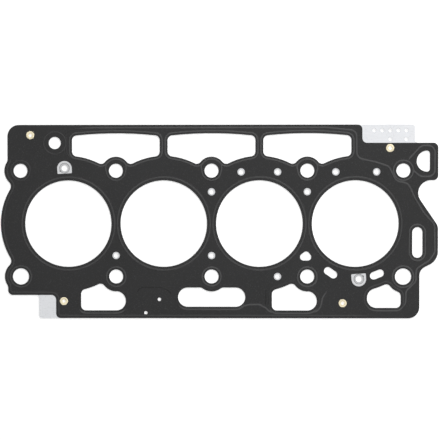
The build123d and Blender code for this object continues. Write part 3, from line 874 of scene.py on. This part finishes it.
def lay_floor(colour):
    """A pale floor that keeps shadows near the gasket and looks white further out."""
    mesh = bpy.data.meshes.new("floor")
    corners = ((-1, -1), (1, -1), (1, 1), (-1, 1))
    mesh.from_pydata(
        [(x * FLOOR_HALF, y * FLOOR_HALF, -FLOOR_DROP) for x, y in corners], [], [(0, 1, 2, 3)])
    material, tree, surface = new_material("Floor")
    surface.inputs["Base Color"].default_value = rgba(colour)
    surface.inputs["Roughness"].default_value = FLOOR_ROUGHNESS
    surface.inputs["Specular IOR Level"].default_value = 0.0
    surface.inputs["Emission Color"].default_value = WHITE
    away = tree.nodes.new("ShaderNodeVectorMath")
    away.operation = "LENGTH"
    tree.links.new(own_place(tree), away.inputs[0])
    glow = map_range(tree, away.outputs["Value"], FLOOR_NEAR, FLOOR_FAR, FLOOR_GLOW, 1.0)
    strength = math_node(tree, "MULTIPLY", seen(tree), glow)
    tree.links.new(strength, surface.inputs["Emission Strength"])
    mesh.materials.append(material)
    link_object("floor", mesh)


def hang_lamps():
    for name, place, side, watts in LAMPS:
        lamp = bpy.data.lights.new(name, "AREA")
        lamp.shape = "SQUARE"
        lamp.size = side
        lamp.energy = watts
        lamp_object = link_object(name, lamp)
        lamp_object.location = place
        lamp_object.rotation_euler = (-Vector(place)).to_track_quat("-Z", "Y").to_euler()


def light_world(scene):
    """Surroundings that look white and light things more weakly."""
    scene.world = bpy.data.worlds.new("Studio")
    scene.world.use_nodes = True
    tree = scene.world.node_tree
    sky = tree.nodes["Background"]
    sky.inputs["Color"].default_value = WHITE
    level = map_range(tree, seen(tree), 0.0, 1.0, WORLD_LEVEL, WORLD_SEEN)
    tree.links.new(level, sky.inputs["Strength"])


def set_camera(scene):
    lens = bpy.data.cameras.new("camera")
    lens.lens = CAMERA_LENS
    lens.sensor_width = SENSOR_WIDTH
    camera = link_object("camera", lens)
    turn = Euler(CAMERA_TILT, "ZXY")
    camera.rotation_mode = "ZXY"
    camera.rotation_euler = turn
    camera.location = CAMERA_AIM + turn.to_matrix() @ Vector((0, 0, CAMERA_DISTANCE))
    scene.camera = camera


# ---- Operators ----


class GASKET_OT_sheets(bpy.types.Operator):
    """Finish the coated covers and the bare steel carrier"""

    bl_idname = "gasket.sheets"
    bl_label = "Finish Sheets"

    def execute(self, context):
        materials = palette()
        for name in COVERS:
            dress(name, materials["Black coating"])
        dress("carrier_layer", materials["Bare steel"])
        return {"FINISHED"}


class GASKET_OT_seal_lines(bpy.types.Operator):
    """Press the seal lines and the steps into both covers"""

    bl_idname = "gasket.seal_lines"
    bl_label = "Press Seal Lines"

    def execute(self, context):
        sizes = context.scene.gasket_sizes
        materials = palette()
        tree = seal_line_tree()
        line = {
            "Foot Width": sizes.line_width, "Crest Width": sizes.line_crest,
            "Height": sizes.line_height, "Root": sizes.line_sink, "Step": sizes.line_step,
            "Material": materials["Line coating"],
        }
        step = {
            **line, "Foot Width": sizes.step_width, "Height": sizes.step_height,
            "Material": materials["Step coating with painted shade"],
        }
        for upper in (
            harvest(seal_line_paths(sizes), tree, line, "upper_seal_lines"),
            harvest(step_paths(sizes), tree, step, "upper_step_lines"),
        ):
            if not upper.data.polygons:
                raise RuntimeError(f"{upper.name} came out empty")
            smooth_slopes(upper, LINE_CREASE)
            lower = turned_over(upper, upper.name.replace("upper", "lower"))
            for piece in (upper, lower):
                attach(piece, "root")
        return {"FINISHED"}


class GASKET_OT_eyelets(bpy.types.Operator):
    """Flare the four eyelets into petals"""

    bl_idname = "gasket.eyelets"
    bl_label = "Flare Eyelets"

    def execute(self, context):
        sizes = context.scene.gasket_sizes
        material = palette()["Eyelet brass"]
        for seed, name in enumerate(EYELETS, start=1):
            piece = lathe_eyelet(name, sizes, seed, material)
            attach(piece, "root")
            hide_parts(name)
        return {"FINISHED"}


class GASKET_OT_stage(bpy.types.Operator):
    """Set up the floor, the lamps, the world and the camera"""

    bl_idname = "gasket.stage"
    bl_label = "Set Stage"

    def execute(self, context):
        scene = context.scene
        lay_floor(scene.gasket_finishes.floor)
        hang_lamps()
        light_world(scene)
        set_camera(scene)
        scene.view_settings.view_transform = "Standard"
        return {"FINISHED"}


class GASKET_PT_panel(bpy.types.Panel):
    """Lists the gasket's sizes, finishes and steps"""

    bl_label = "Cylinder Head Gasket"
    bl_space_type = "VIEW_3D"
    bl_region_type = "UI"
    bl_category = "Gasket"

    def draw(self, context):
        for group in (context.scene.gasket_sizes, context.scene.gasket_finishes):
            column = self.layout.column()
            for key in group.__annotations__:
                column.prop(group, key)
        for operator in OPERATORS:
            self.layout.operator(operator.bl_idname)


OPERATORS = (GASKET_OT_sheets, GASKET_OT_seal_lines, GASKET_OT_eyelets, GASKET_OT_stage)
CLASSES = (GasketSizes, GasketFinishes) + OPERATORS + (GASKET_PT_panel,)


def register():
    for item in CLASSES:
        bpy.utils.register_class(item)
    bpy.types.Scene.gasket_sizes = PointerProperty(type=GasketSizes)
    bpy.types.Scene.gasket_finishes = PointerProperty(type=GasketFinishes)


def unregister():
    del bpy.types.Scene.gasket_finishes
    del bpy.types.Scene.gasket_sizes
    for item in reversed(CLASSES):
        bpy.utils.unregister_class(item)


def main():
    register()
    bpy.ops.gasket.sheets()
    bpy.ops.gasket.seal_lines()
    bpy.ops.gasket.eyelets()
    bpy.ops.gasket.stage()


if __name__ == "__main__":
    main()
